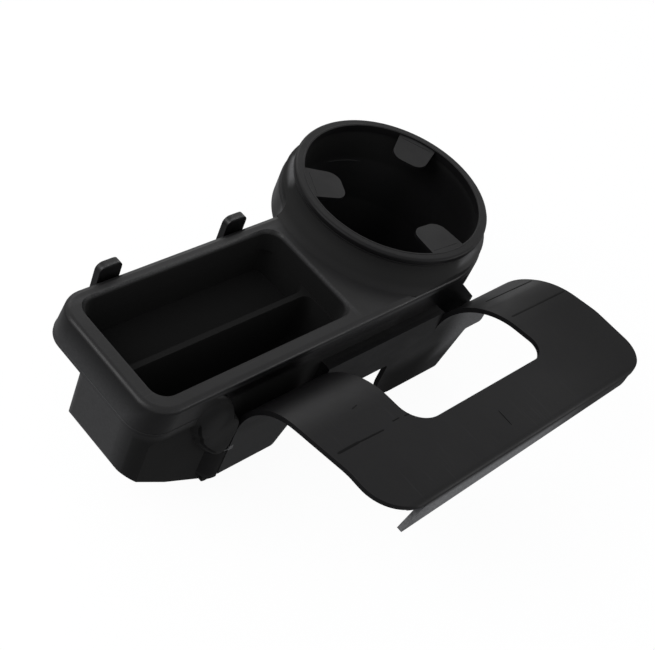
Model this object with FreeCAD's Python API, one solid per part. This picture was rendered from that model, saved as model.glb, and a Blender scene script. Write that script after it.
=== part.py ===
import FreeCAD, Part
import math
import os
from FreeCAD import Vector

# Car cup holder: a one-piece tray and cup housing, a ring with three grip
# fingers in the rim of the cup, and a saddle bracket on the front wall.
# Origin on the cup axis at the underside of its floor, +Z up, -Y to the
# bracket, -X to the tray. Millimetres.

# Cup
rim_top = 82.0
cup_radius_top = 40.0
cup_taper = 7.5
cup_wall = 3.0
cup_floor = 3.0
floor_round = 4.0

# Tray deck and its skirt
deck_top = 70.0
deck_thickness = 2.8
collar_step = 7.0
tray_left = -162.0
tray_back = 16.0
tray_corner = 12.0
neck_fillet = 12.0
skirt_depth = 13.0
skirt_flare = 3.0
skirt_wall = 2.6
deck_edge_round = 2.4
cove_radius = 10.0

# Open tray in the deck
pan_left = -155.0
pan_right = -57.0
tray_front_wall = 7.0
pan_back = 10.5
pan_corner = 7.0
pan_depth = 23.0
divider_depth = 10.5
divider_thickness = 2.4
pan_draft = 1.0
pan_floor = 2.5
pan_lip_round = 1.5

# Deep slot along the front half of the tray
slot_back = -18.8
box_depth_behind = 11.4
slot_wall = 4.2
core_wall = 2.6
core_top_gap = 3.0
slot_floor = 2.8
box_bottom = 5.0
box_knee = -142.0
box_knee_height = 18.0
box_flat_left = -119.5
box_flat_right = -88.0
box_shoulder = 34.0
box_round = 4.0
box_inner_round = 4.0
core_inset = 5.5
core_front_inset = 2.0
core_corner = 6.0

# Front wall: recessed under the lip, with a raised seat for the bracket
recess_depth = 2.8
bulge_right = -133.0
recess_foot = -118.5
recess_foot_height = 41.0
lip_height = 4.0
seat_top = 50.0
valley_floor = 37.0
seat_step_x = -70.0
front_wall = 2.8
apron_right = 32.0
apron_chamfer = 29.0
apron_chamfer_drop = 27.0
apron_lap = 1.4
recess_overrun = 40.0

# Slanted land beside the bracket's left end and the set-back panel left of it
heel_proud = 1.8
heel_round = 1.4
heel_top = 60.5
heel_top_x = -132.0
heel_left_top = 57.5
heel_left_x = -135.0
heel_middle = 42.5
heel_middle_x = -129.0
heel_low = 32.5
heel_low_x = -122.5
heel_foot = 26.0
heel_corner = 9.0
heel_gap = 0.2
panel_left = -159.0
panel_top = 54.0
panel_foot = 26.0
panel_depth = 1.6
panel_right_top_x = -138.5
panel_right_middle_x = -131.5
panel_right_middle = 38.0
panel_right_foot_x = -121.0

# Clips standing behind the back edge
clip_centres = (-135.6, -72.6)
clip_width = 10.6
clip_thickness = 3.0
clip_top = 74.8
clip_round = 3.0
clip_gap = 1.2
clip_foot = 8.0

# Grip ring
ring_height = 3.5
ring_proud = 1.0
ring_bore_inset = 0.2
ring_edge_round = 1.2
finger_angles = (27.0, 153.0, 265.0)
finger_tip_radius = 23.0
finger_width = 18.0
finger_tip_width = 15.5
finger_thickness = 1.6
finger_drop = 0.4
finger_droop = 1.4
finger_corner = 5.5

# Saddle bracket, a bent sheet
sheet = 2.2
arch_radius = 32.0
leg_left = -115.6
leg_right = 43.5
plate_left = -113.2
plate_right = 50.6
plate_edge = -121.6
plate_corner_left = 18.0
plate_corner_right = 14.0
arm_bulge_left = -117.0
arm_bulge_y = -75.0
arm_blend_left_y = -97.0
arm_blend_right_y = -90.0
arm_foot_right_y = -58.0
flange_left = -103.0
flange_slant = 8.0
flange_bottom_left = 54.3
flange_bottom_right = 61.0
flange_round = 2.5
window_foot_left = -76.5
window_left = -73.6
window_foot_right = 1.5
window_right = 8.8
window_edge = -95.4
window_corner_left = 12.0
window_corner_right = 8.0
left_leg_foot = -85.6
left_leg_right = -78.0
left_leg_bottom = 10.0
right_leg_left = -23.5
right_leg_corner = 15.0
right_leg_bottom = 2.0
right_leg_foot = 23.5
leg_gap_top = 27.8
leg_step = 24.3
leg_step_left = 32.0
leg_corner = 1.6
edge_round = 0.5

# Derived places
collar_radius = cup_radius_top + collar_step
cup_radius_floor = cup_radius_top - cup_taper
front = -collar_radius
pan_front = front + tray_front_wall
divider_top = deck_top - divider_depth
above = deck_top + cove_radius
wall_face = front + recess_depth
skirt_bottom = deck_top - skirt_depth
pan_bottom = deck_top - pan_depth
box_back = slot_back + box_depth_behind
box_left = tray_left - skirt_flare
box_right = pan_right + 1.0
ring_bottom = rim_top - ring_height
neck_radius = cup_radius_top + cup_wall


def rounded_wire(corners, place):
    """Closed wire through (u, v, radius) corners, each rounded by a tangent arc."""
    cuts = []
    count = len(corners)
    for i, (u, v, radius) in enumerate(corners):
        here = Vector(u, v, 0)
        before = Vector(*corners[i - 1][:2], 0) - here
        after = Vector(*corners[(i + 1) % count][:2], 0) - here
        before.normalize()
        after.normalize()
        half = before.getAngle(after) / 2
        if radius <= 0:
            cuts.append((here, None, here))
            continue
        reach = radius / math.tan(half)
        middle = before + after
        middle.normalize()
        centre = here + middle * (radius / math.sin(half))
        cuts.append((here + before * reach, centre - middle * radius, here + after * reach))
    edges = []
    for i, (start, middle, end) in enumerate(cuts):
        if middle is not None:
            edges.append(Part.Arc(place(start), place(middle), place(end)).toShape())
        following = cuts[(i + 1) % count][0]
        if (following - end).Length > 1e-6:
            edges.append(Part.LineSegment(place(end), place(following)).toShape())
    return Part.Wire(edges)


def flat_prism(corners, low, high):
    """Prism over an outline in X and Y, from height low to high."""
    wire = rounded_wire(corners, lambda p: Vector(p.x, p.y, low))
    return Part.Face(wire).extrude(Vector(0, 0, high - low))


def upright_prism(corners, near, far):
    """Prism over an outline in X and Z, from Y near to far."""
    wire = rounded_wire(corners, lambda p: Vector(p.x, near, p.y))
    return Part.Face(wire).extrude(Vector(0, far - near, 0))


def box(x0, x1, y0, y1, z0, z1):
    return Part.makeBox(x1 - x0, y1 - y0, z1 - z0, Vector(x0, y0, z0))


def rectangle(x0, x1, y0, y1, radius):
    return [(x0, y0, radius), (x1, y0, radius), (x1, y1, radius), (x0, y1, radius)]


def edges_where(shape, test):
    return [edge for edge in shape.Edges if test(edge.BoundBox)]


def deck_outline(grow, z, flare=0.0):
    """Tray and collar seen from above, grown outwards, its left end moved out by flare."""
    radius = collar_radius + grow
    back = tray_back + grow
    left = tray_left - grow - flare
    corner = tray_corner + grow
    fillet = neck_fillet - grow
    fx = -math.sqrt((radius + fillet) ** 2 - (back + fillet) ** 2)
    fy = back + fillet
    share = radius / (radius + fillet)
    touch = Vector(fx * share, fy * share, z)
    waist = math.atan2(touch.y - fy, touch.x - fx)
    half_turn = (waist - math.pi / 2) / 2
    hollow = Vector(fx + fillet * math.cos(half_turn), fy + fillet * math.sin(half_turn), z)
    slant = corner * (1 - math.sqrt(0.5))
    line = lambda a, b: Part.LineSegment(a, b).toShape()
    arc = lambda a, b, c: Part.Arc(a, b, c).toShape()
    front_left = Vector(left + corner, -radius, z)
    front_end = Vector(0, -radius, z)
    back_right = Vector(fx, back, z)
    back_left = Vector(left + corner, back, z)
    left_back = Vector(left, back - corner, z)
    left_front = Vector(left, -radius + corner, z)
    return Part.Wire([
        line(front_left, front_end),
        arc(front_end, Vector(radius, 0, z), touch),
        arc(touch, hollow, back_right),
        line(back_right, back_left),
        arc(back_left, Vector(left + slant, back - slant, z), left_back),
        line(left_back, left_front),
        arc(left_front, Vector(left + slant, -radius + slant, z), front_left),
    ])


def deck_shell():
    """Deck with its skirt, open underneath, cut back under the front lip."""
    outer = Part.makeLoft([deck_outline(0, skirt_bottom, skirt_flare), deck_outline(0, deck_top)], True, True)
    rim = edges_where(outer, lambda b: b.ZMin > deck_top - 0.01)
    outer = outer.makeFillet(deck_edge_round, rim)
    inner = Part.makeLoft([
        deck_outline(-skirt_wall, skirt_bottom, skirt_flare),
        deck_outline(-skirt_wall, deck_top - deck_thickness),
    ], True, True)
    return outer.cut(inner)


def collar():
    """Hollow round that carries the deck up to the neck of the cup."""
    top = min(deck_top + cove_radius, ring_bottom)
    outside = neck_radius + cove_radius
    start = Vector(outside, 0, deck_top)
    turn = math.acos((deck_top + cove_radius - top) / cove_radius)
    end = Vector(outside - cove_radius * math.sin(turn), 0, top)
    middle = Vector(
        outside - cove_radius * math.sin(turn / 2), 0, deck_top + cove_radius * (1 - math.cos(turn / 2)))
    below = deck_top - deck_thickness / 2
    face = Part.Face(Part.Wire([
        Part.LineSegment(Vector(0, 0, below), Vector(outside, 0, below)).toShape(),
        Part.LineSegment(Vector(outside, 0, below), start).toShape(),
        Part.Arc(start, middle, end).toShape(),
        Part.LineSegment(end, Vector(0, 0, top)).toShape(),
        Part.LineSegment(Vector(0, 0, top), Vector(0, 0, below)).toShape(),
    ]))
    solid = face.revolve(Vector(0, 0, 0), Vector(0, 0, 1), 360)
    limit = Part.Face(deck_outline(-0.6, below)).extrude(Vector(0, 0, top - below + 1))
    return solid.common(limit)


def cup_body():
    """Tapered cup, solid, up to the seat of the grip ring."""
    cone = Part.makeCone(cup_radius_floor + cup_wall, neck_radius, ring_bottom)
    foot = edges_where(cone, lambda b: b.ZMax < 0.01 and b.XLength > 1)
    return cone.makeFillet(floor_round, foot)


def cup_hollow():
    depth = ring_bottom - cup_floor
    cone = Part.makeCone(cup_radius_floor, cup_radius_top, depth, Vector(0, 0, cup_floor))
    foot = edges_where(cone, lambda b: b.ZMax < cup_floor + 0.01 and b.XLength > 1)
    return cone.makeFillet(floor_round, foot)


def deep_box():
    """Box under the front half of the tray, with a narrower core up into the skirt."""
    profile = [
        (box_left, skirt_bottom, 0),
        (box_left, box_shoulder, 3),
        (box_knee, box_knee_height, box_round),
        (box_flat_left, box_bottom, box_round),
        (box_flat_right, box_bottom, box_round),
        (box_right, box_shoulder, box_round),
        (box_right, skirt_bottom, 0),
    ]
    plan = [
        (box_left, box_back, box_inner_round), (box_left, front, tray_corner), (leg_left, front, 0),
        (leg_left, wall_face, 0), (box_right, wall_face, 0), (box_right, box_back, box_inner_round),
    ]
    left = box_left + core_inset
    near = front + core_front_inset
    core = [
        (left, box_back, box_inner_round), (left, near, core_corner),
        (box_right, near, 0), (box_right, box_back, box_inner_round),
    ]
    lower = upright_prism(profile, front, box_back).common(flat_prism(plan, 0, deck_top))
    return lower.fuse(flat_prism(core, skirt_bottom - 3, deck_top - deck_thickness))


def recess():
    """Cut that sets the front wall back under the lip, its left end slanted."""
    top = deck_top - lip_height
    corners = [
        (bulge_right, top, 0), (recess_foot, recess_foot_height, 2),
        (leg_left + heel_gap, valley_floor, 0), (apron_right + recess_overrun, valley_floor, 0),
        (apron_right + recess_overrun, top, 0),
    ]
    return upright_prism(corners, front - cove_radius, wall_face)


def pan(inset, low, high):
    """Block or hollow of the shallow tray, inset from its mouth at the deck."""
    wires = []
    for z, step in ((low, inset + pan_draft), (high, inset)):
        corners = rectangle(
            pan_left + step, pan_right - step, pan_front + step, pan_back - step, pan_corner)
        wires.append(rounded_wire(corners, lambda p, z=z: Vector(p.x, p.y, z)))
    return Part.makeLoft(wires, True, True)


def pan_mouth():
    """Rounded lip of the tray as a flared cutter."""
    wires = []
    for z, step in ((deck_top - pan_lip_round, 0), (deck_top, -pan_lip_round * 0.55)):
        corners = rectangle(
            pan_left + step, pan_right - step, pan_front + step, pan_back - step, pan_corner)
        wires.append(rounded_wire(corners, lambda p, z=z: Vector(p.x, p.y, z)))
    return Part.makeLoft(wires, True, True)


def back_tray():
    """Hollow behind the divider, down to the tray's floor."""
    left = pan_left + pan_draft
    right = pan_right - pan_draft
    near = slot_back + divider_thickness
    plan = rectangle(left, right, near, pan_back - pan_draft, box_inner_round)
    return flat_prism(plan, pan_bottom, divider_top + pan_draft)


def slot_hollow():
    """Deep slot in front of the divider."""
    left = pan_left + 2 * pan_draft
    right = pan_right - 2 * pan_draft
    top = divider_top + pan_draft
    floor = box_bottom + slot_floor
    shoulder = box_shoulder + slot_floor
    near = wall_face + slot_wall
    profile = [
        (left, top, 0), (left, shoulder, box_round),
        (box_knee, box_knee_height + slot_floor, box_round), (box_flat_left, floor, box_round),
        (box_flat_right, floor, box_round), (right, shoulder, box_round), (right, top, 0),
    ]
    plan = rectangle(left, right, near, slot_back, box_inner_round)
    return upright_prism(profile, near, slot_back).common(flat_prism(plan, 0, deck_top))


def core_out():
    """Pocket from below between the slot's back wall and the box's back wall."""
    near = slot_back + core_wall
    plan = rectangle(pan_left + pan_corner, box_flat_right, near, box_back - core_wall, heel_round)
    return flat_prism(plan, 0, pan_bottom - pan_floor - core_top_gap)


def front_apron():
    """Wall that hangs from the deck between the tray and the cup, with the bracket's seat."""
    low = leg_gap_top + apron_lap
    high = deck_top - deck_thickness / 2
    right = apron_right
    foot = left_leg_bottom + apron_lap
    wall = [
        (box_right - slot_wall, high, 0), (right - apron_chamfer, high, 0),
        (right, high - apron_chamfer_drop, apron_lap), (right, low, apron_lap),
        (box_right - slot_wall, low, 0),
    ]
    seat = [
        (leg_left, valley_floor, 0), (seat_step_x, valley_floor, 0), (seat_step_x, seat_top, 0),
        (window_foot_right, seat_top, 0), (window_foot_right, valley_floor, 0), (right, valley_floor, 0),
        (right, low, 0), (left_leg_right, low, 0), (left_leg_foot - apron_lap, foot, 0), (leg_left, foot, 0),
    ]
    wall = upright_prism(wall, wall_face, wall_face + front_wall)
    return wall.fuse(upright_prism(seat, front, wall_face))


def heel():
    """Raised slanted land with soft edges that ends the front wall beside the bracket."""
    right = leg_left - heel_gap
    corners = [
        (heel_left_x, heel_left_top, heel_round), (heel_middle_x, heel_middle, heel_corner),
        (heel_low_x, heel_low, heel_corner), (right, heel_foot, heel_round),
        (right, recess_foot_height - heel_round, heel_round), (heel_top_x, heel_top, heel_round),
    ]
    land = upright_prism(corners, front - heel_proud, wall_face)
    face = edges_where(land, lambda b: b.YLength < 0.01 and b.YMin < front - heel_proud + 0.01)
    return land.makeFillet(heel_round * 0.9, face)


def panel():
    """Cut that sets the front wall back under the skirt, left of the slanted land."""
    corners = [
        (panel_left, panel_top, box_round), (panel_right_top_x, panel_top, heel_round),
        (panel_right_middle_x, panel_right_middle, heel_corner), (panel_right_foot_x, panel_foot, 0),
        (panel_right_foot_x, 0, 0), (panel_left, 0, 0),
    ]
    return upright_prism(corners, front - panel_depth, front + panel_depth)


def clip(x):
    """Flat clip that stands up behind the back edge."""
    low = skirt_bottom
    half = clip_width / 2
    corners = [(x - half, low, 0), (x + half, low, 0), (x + half, clip_top, clip_round),
               (x - half, clip_top, clip_round)]
    near = tray_back + clip_gap
    blade = upright_prism(corners, near, near + clip_thickness)
    return blade.fuse(box(x - half, x + half, tray_back - 1, near + 1, low, low + clip_foot))


def housing():
    """The moulding: deck, skirt, cup, tray and deep slot."""
    solid = deck_shell()
    below = pan(-skirt_wall, pan_bottom - pan_floor, deck_top - deck_thickness / 2)
    for piece in (collar(), cup_body(), below, deep_box()):
        solid = solid.fuse(piece)
    solid = solid.cut(recess()).cut(panel())
    for piece in (front_apron(), heel()):
        solid = solid.fuse(piece)
    for x in clip_centres:
        solid = solid.fuse(clip(x))
    hollows = (
        cup_hollow(), pan(0, divider_top, deck_top), pan_mouth(), back_tray(), slot_hollow(), core_out())
    for cutter in hollows:
        solid = solid.cut(cutter)
    bore = Part.makeCylinder(cup_radius_top, deck_top, Vector(0, 0, ring_bottom - 0.01))
    return solid.cut(bore).removeSplitter()


def finger(angle):
    """Tongue from the ring towards the cup axis, drooping to its tip."""
    root = cup_radius_top + 1.0
    corners = [
        (root, -finger_width / 2, 0), (root, finger_width / 2, 0),
        (finger_tip_radius, finger_tip_width / 2, finger_corner),
        (finger_tip_radius, -finger_tip_width / 2, finger_corner),
    ]
    top = rim_top - finger_drop
    tongue = flat_prism(corners, top - finger_thickness, top)
    slope = math.degrees(math.atan(finger_droop / (root - finger_tip_radius)))
    tongue.rotate(Vector(root, 0, top), Vector(0, 1, 0), -slope)
    tongue.rotate(Vector(0, 0, 0), Vector(0, 0, 1), angle)
    return tongue


def grip_ring():
    outer = Part.makeCylinder(neck_radius + ring_proud, ring_height, Vector(0, 0, ring_bottom))
    rims = edges_where(outer, lambda b: b.XLength > 1 and b.ZLength < 0.01)
    outer = outer.makeFillet(ring_edge_round, rims)
    ring = outer.cut(Part.makeCylinder(
        cup_radius_top - ring_bore_inset, 3 * ring_height, Vector(0, 0, ring_bottom - ring_height)))
    for angle in finger_angles:
        ring = ring.fuse(finger(angle))
    return ring.removeSplitter()


def bracket_profile(x):
    """Section of the bent sheet from its spring at the wall over the arch to the edge."""
    spring = valley_floor
    centre_y = front - arch_radius
    top = spring + arch_radius
    inner = arch_radius - sheet
    bend = math.sqrt(0.5)
    at = lambda y, z: Vector(x, y, z)
    line = lambda a, b: Part.LineSegment(a, b).toShape()
    crown = at(centre_y + arch_radius * bend, spring + arch_radius * bend)
    soffit = at(centre_y + inner * bend, spring + inner * bend)
    back_out = plate_edge + flange_round
    rounding = flange_round * (1 - bend)
    return Part.Face(Part.Wire([
        Part.Arc(at(front, spring), crown, at(centre_y, top)).toShape(),
        line(at(centre_y, top), at(back_out, top)),
        Part.Arc(at(back_out, top), at(plate_edge + rounding, top - rounding),
                 at(plate_edge, top - flange_round)).toShape(),
        line(at(plate_edge, top - flange_round), at(plate_edge + sheet, top - flange_round)),
        line(at(plate_edge + sheet, top - flange_round), at(plate_edge + sheet, top - sheet)),
        line(at(plate_edge + sheet, top - sheet), at(centre_y, top - sheet)),
        Part.Arc(at(centre_y, top - sheet), soffit, at(front - sheet, spring)).toShape(),
        line(at(front - sheet, spring), at(front, spring)),
    ]))


def flange():
    """Lip turned down along the outer edge, deeper at its left end."""
    top = valley_floor + arch_radius - flange_round
    right = plate_right - plate_corner_right
    corners = [
        (flange_left + flange_slant, top, 0),
        (flange_left, flange_bottom_left, 0.6),
        (right, flange_bottom_right, 2),
        (right, top, 0),
    ]
    return upright_prism(corners, plate_edge, plate_edge + sheet)


def leg_wall():
    """Upright part of the bracket: the wall between the arms and the two legs."""
    corners = [
        (leg_left, valley_floor, 0),
        (leg_left, left_leg_bottom, 0),
        (left_leg_foot, left_leg_bottom, leg_corner),
        (left_leg_right, leg_gap_top, leg_corner),
        (right_leg_left, leg_gap_top, leg_corner),
        (right_leg_left, right_leg_bottom, right_leg_corner),
        (right_leg_foot, right_leg_bottom, leg_corner),
        (leg_step_left, leg_step, leg_corner),
        (leg_right, leg_step, leg_corner),
        (leg_right, valley_floor, 0),
    ]
    return upright_prism(corners, front - sheet, front)


def window(near, low, high):
    """Opening between the arms, from the plate out to its edge, seen from above."""
    corners = [
        (window_foot_left, near, 0), (window_left, window_edge, window_corner_left),
        (window_right, window_edge, window_corner_right), (window_foot_right, near, 0),
    ]
    return flat_prism(corners, low, high)


def saddle_bracket():
    """Bent sheet over the edge of the console, with a window and two legs."""
    arch = bracket_profile(arm_bulge_left).extrude(Vector(plate_right - arm_bulge_left, 0, 0))
    plan = [
        (leg_left, front + 1, 0), (leg_left, front - sheet, 4), (arm_bulge_left, arm_bulge_y, 40),
        (plate_left, arm_blend_left_y, 30), (plate_left, plate_edge, plate_corner_left),
        (plate_right, plate_edge, plate_corner_right), (plate_right, arm_blend_right_y, 20),
        (leg_right, arm_foot_right_y, 20), (leg_right, front + 1, 0),
    ]
    arch = arch.common(flat_prism(plan, 0, above)).cut(window(front, 0, above))
    ledge = box(seat_step_x, window_foot_right + 5, front - sheet, front, valley_floor, seat_top)
    ledge = ledge.common(window(front, 0, above))
    solid = arch.fuse(leg_wall()).fuse(ledge).fuse(flange())
    return solid.removeSplitter()


def main():
    os.makedirs("parts", exist_ok=True)
    pieces = {
        "housing": housing(),
        "grip_ring": grip_ring(),
        "saddle_bracket": saddle_bracket(),
    }
    for name, shape in pieces.items():
        solid = shape.Solids[0] if len(shape.Solids) == 1 else shape
        print(name, len(shape.Solids), shape.isValid(), round(shape.Volume), shape.BoundBox)
        solid.exportStep("parts/" + name + ".step")


main()
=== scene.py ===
# %% [markdown]
# # Car cup holder
# A black moulded housing holds a round cup and a deep oblong tray. A ring with three
# fingers steadies the cup, and a bent plate with a window hangs the whole thing on the
# edge of a console. The three solids come ready made. This lesson gives them their
# plastics, adds the small moulded details, and lights and frames the picture. Lengths
# are in metres throughout.

# %% Load the solids
import math

import bpy
import numpy as np
from mathutils import Matrix, Vector


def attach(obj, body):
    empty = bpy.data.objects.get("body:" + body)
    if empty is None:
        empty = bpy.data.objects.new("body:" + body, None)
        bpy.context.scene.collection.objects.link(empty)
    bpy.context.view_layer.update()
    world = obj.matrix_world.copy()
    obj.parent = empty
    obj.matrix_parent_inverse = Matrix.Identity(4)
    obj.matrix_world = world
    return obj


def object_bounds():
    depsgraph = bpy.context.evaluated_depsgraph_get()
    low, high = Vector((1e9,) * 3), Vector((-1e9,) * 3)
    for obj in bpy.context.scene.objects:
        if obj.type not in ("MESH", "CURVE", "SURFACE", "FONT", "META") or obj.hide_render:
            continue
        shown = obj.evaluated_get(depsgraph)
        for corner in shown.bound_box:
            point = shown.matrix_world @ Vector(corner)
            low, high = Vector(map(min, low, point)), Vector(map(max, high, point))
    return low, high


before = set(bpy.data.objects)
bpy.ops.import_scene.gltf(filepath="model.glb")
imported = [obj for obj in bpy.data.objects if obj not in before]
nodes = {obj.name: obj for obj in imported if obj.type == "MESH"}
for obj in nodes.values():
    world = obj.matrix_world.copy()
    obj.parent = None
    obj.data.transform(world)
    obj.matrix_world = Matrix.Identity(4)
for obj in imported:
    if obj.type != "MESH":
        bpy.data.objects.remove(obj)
solid_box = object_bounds()
print("solids:", sorted(nodes))

# %% [markdown]
# ## Camera
# The picture looks down on the holder from beyond the tray's end and rolls to the right,
# so the long deck runs diagonally. A camera can be aimed with a Track To constraint, but
# that can't roll. Two measured axes fix it fully: the way it looks and its right hand
# side. The cross product of the two gives its up axis, and the three axes side by side
# are the columns of its rotation.

# %% Camera
LOOK = Vector((0.641129, 0.355363, -0.680199))
RIGHT_HAND = Vector((0.695673, -0.643343, 0.319606))
CAMERA_PLACE = (-0.39253, -0.21825, 0.40910)

camera_data = bpy.data.cameras.new("camera")
camera_data.lens = 70.69
camera_data.sensor_width = 36.0
camera_data.sensor_fit = "HORIZONTAL"
camera_data.clip_start = 0.01
camera_data.clip_end = 20.0
camera = bpy.data.objects.new("camera", camera_data)
turned = Matrix((RIGHT_HAND, RIGHT_HAND.cross(LOOK), -LOOK)).transposed().to_4x4()
camera.matrix_world = Matrix.Translation(CAMERA_PLACE) @ turned
bpy.context.scene.collection.objects.link(camera)
bpy.context.scene.camera = camera
bpy.context.scene.view_settings.view_transform = "Standard"
print("camera stands", round(camera.location.length, 3), "m from the cup's foot")

# %% [markdown]
# ## Helpers for shader nodes
# A material is a small network. Writing each link by hand hides what the network does.
# These helpers make a node, feed its inputs from sockets or plain numbers, and give back
# the socket with the result, so a chain of nodes reads like a chain of sums.


# %% Node helpers
NUMBER = "NodeSocketFloat"
COLOUR = "NodeSocketColor"
VECTOR = "NodeSocketVector"
MIX_SOCKETS = {"FLOAT": (2, 0), "VECTOR": (4, 1), "RGBA": (6, 2)}


def add_node(tree, kind, name, **settings):
    """Adds a node of that kind, names it and sets its properties or input sockets."""
    made = tree.nodes.new(kind)
    made.name = made.label = name
    for key, value in settings.items():
        if key in made.inputs:
            made.inputs[key].default_value = value
        else:
            setattr(made, key, value)
    return made


def feed(tree, end, value):
    """Links a socket to an input, or writes a plain number, vector or colour into it."""
    if isinstance(value, bpy.types.NodeSocket):
        tree.links.new(value, end)
    else:
        end.default_value = value


def maths(tree, name, operation, *values, kind="ShaderNodeMath", result=0):
    """Result of the operation on the values, as a Math or a Vector Math node."""
    made = add_node(tree, kind, name, operation=operation)
    for end, value in zip(made.inputs, values):
        feed(tree, end, value)
    return made.outputs[result]


def vector_maths(tree, name, operation, *values, result=0):
    """Result of the operation on vectors; a length is result 1."""
    return maths(tree, name, operation, *values, kind="ShaderNodeVectorMath", result=result)


def mixed(tree, name, kind, share, first, second):
    """First * (1 - share) + second * share, for numbers, vectors or colours."""
    made = add_node(tree, "ShaderNodeMix", name, data_type=kind)
    place, result = MIX_SOCKETS[kind]
    feed(tree, made.inputs[0], share)
    feed(tree, made.inputs[place], first)
    feed(tree, made.inputs[place + 1], second)
    return made.outputs[result]


def mixed_shader(tree, name, share, first, second):
    """First shader where share is 0, second where it is 1."""
    made = add_node(tree, "ShaderNodeMixShader", name)
    for end, value in zip(made.inputs, (share, first, second)):
        feed(tree, end, value)
    return made.outputs[0]


def smooth_share(tree, name, value, low, high, start=0.0, finish=1.0):
    """Smooth step of the value: start below low, finish above high."""
    made = add_node(tree, "ShaderNodeMapRange", name, interpolation_type="SMOOTHSTEP")
    for label, number in (("From Min", low), ("From Max", high), ("To Min", start), ("To Max", finish)):
        made.inputs[label].default_value = number
    feed(tree, made.inputs["Value"], value)
    return made.outputs["Result"]


def noise(tree, name, place, scale, detail, roughness):
    """Noise between 0 and 1 at the place; detail is the number of finer layers."""
    made = add_node(tree, "ShaderNodeTexNoise", name, Detail=detail, Roughness=roughness)
    feed(tree, made.inputs["Vector"], place)
    feed(tree, made.inputs["Scale"], scale)
    return made.outputs["Fac"]


def new_group(name, inputs, outputs):
    """Makes a shader node group with named float, vector or colour sockets and its end nodes."""
    tree = bpy.data.node_groups.new(name, "ShaderNodeTree")
    for label, kind, value in inputs:
        socket = tree.interface.new_socket(label, in_out="INPUT", socket_type=kind)
        socket.default_value = value
    for label, kind in outputs:
        tree.interface.new_socket(label, in_out="OUTPUT", socket_type=kind)
    return tree, tree.nodes.new("NodeGroupInput"), tree.nodes.new("NodeGroupOutput")


# %% [markdown]
# ## Floor, backdrop and light
# The product picture stands on pure white. The white comes from the colour that camera
# and mirror rays see, through Light Path, and not from extra light on the object, so the
# black plastic keeps its own tone. The floor mixes a little of its lit surface back in,
# which leaves a soft shadow under the holder. The plastic mirrors only a small share of
# that white, since more of it would turn the undersides grey.


# %% White surround
PLAIN_LIGHT = 0.40


def white_for_seen_rays(tree, paths):
    """Largest of Is Camera Ray, Is Glossy Ray and Is Transmission Ray."""
    first = maths(tree, "camera or glossy", "MAXIMUM",
                  paths.outputs["Is Camera Ray"], paths.outputs["Is Glossy Ray"])
    return maths(tree, "or transmission", "MAXIMUM", first, paths.outputs["Is Transmission Ray"])


world = bpy.data.worlds.new("studio")
world.use_nodes = True
bpy.context.scene.world = world
tree = world.node_tree
tree.nodes.clear()
paths = add_node(tree, "ShaderNodeLightPath", "ray kind")
plain_light = add_node(tree, "ShaderNodeBackground", "plain light", Color=(0.93, 0.95, 1.0, 1),
                       Strength=PLAIN_LIGHT)
white_seen = add_node(tree, "ShaderNodeBackground", "white seen", Color=(1, 1, 1, 1), Strength=1.0)
chosen = mixed_shader(tree, "by ray kind", white_for_seen_rays(tree, paths),
                      plain_light.outputs[0], white_seen.outputs[0])
output = add_node(tree, "ShaderNodeOutputWorld", "world output")
feed(tree, output.inputs["Surface"], chosen)
print("world: plain light", PLAIN_LIGHT, "and white where it is seen")

# %% Floor
FLOOR_REACH = 4.0
FLOOR_GAP = 0.0005
BOUNCED_GREY = (0.34, 0.34, 0.34, 1)
SEEN_GREY = (0.85, 0.85, 0.85, 1)
FLOOR_GLOW = 1.04
CAMERA_SHARE = 0.92
MIRROR_SHARE = 0.12

floor_mesh = bpy.data.meshes.new("floor")
floor_corners = [(x * FLOOR_REACH, y * FLOOR_REACH, 0) for x, y in ((-1, -1), (1, -1), (1, 1), (-1, 1))]
floor_mesh.from_pydata(floor_corners, [], [(0, 1, 2, 3)])
floor = bpy.data.objects.new("floor", floor_mesh)
bpy.context.scene.collection.objects.link(floor)
floor.location.z = min(solid_box[0][2], 0.0) - FLOOR_GAP

pale = bpy.data.materials.new("pale_floor")
pale.use_nodes = True
tree = pale.node_tree
tree.nodes.clear()
paths = add_node(tree, "ShaderNodeLightPath", "ray kind")
is_camera = paths.outputs["Is Camera Ray"]
tone = mixed(tree, "seen or bounced", "RGBA", is_camera, BOUNCED_GREY, SEEN_GREY)
lit = add_node(tree, "ShaderNodeBsdfDiffuse", "lit surface")
feed(tree, lit.inputs["Color"], tone)
glow = add_node(tree, "ShaderNodeEmission", "white seen", Color=(1, 1, 1, 1), Strength=FLOOR_GLOW)
seen = maths(tree, "camera share", "MULTIPLY", is_camera, CAMERA_SHARE)
mirrored = maths(tree, "mirror share", "MULTIPLY", white_for_seen_rays(tree, paths), MIRROR_SHARE)
white_share = maths(tree, "share of white", "MAXIMUM", seen, mirrored)
chosen = mixed_shader(tree, "lit or white", white_share, lit.outputs[0], glow.outputs[0])
output = add_node(tree, "ShaderNodeOutputMaterial", "floor output")
feed(tree, output.inputs["Surface"], chosen)
floor_mesh.materials.append(pale)
print("floor at", round(floor.location.z * 1000, 2), "mm")

# %% [markdown]
# ## Lamps
# Three large area lamps act as soft boxes: a key from behind the tray's end, a low strip
# in front that catches only the bracket's turned-down edge, and a lamp behind the cup
# that draws the bright line on its rim. Big lamps close by give the wide, soft highlights
# that satin plastic shows.


# %% Lamps
MIDDLE = (-0.05, -0.03, 0.05)
TURNED_DOWN_EDGE = (-0.02, -0.12, 0.06)


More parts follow.
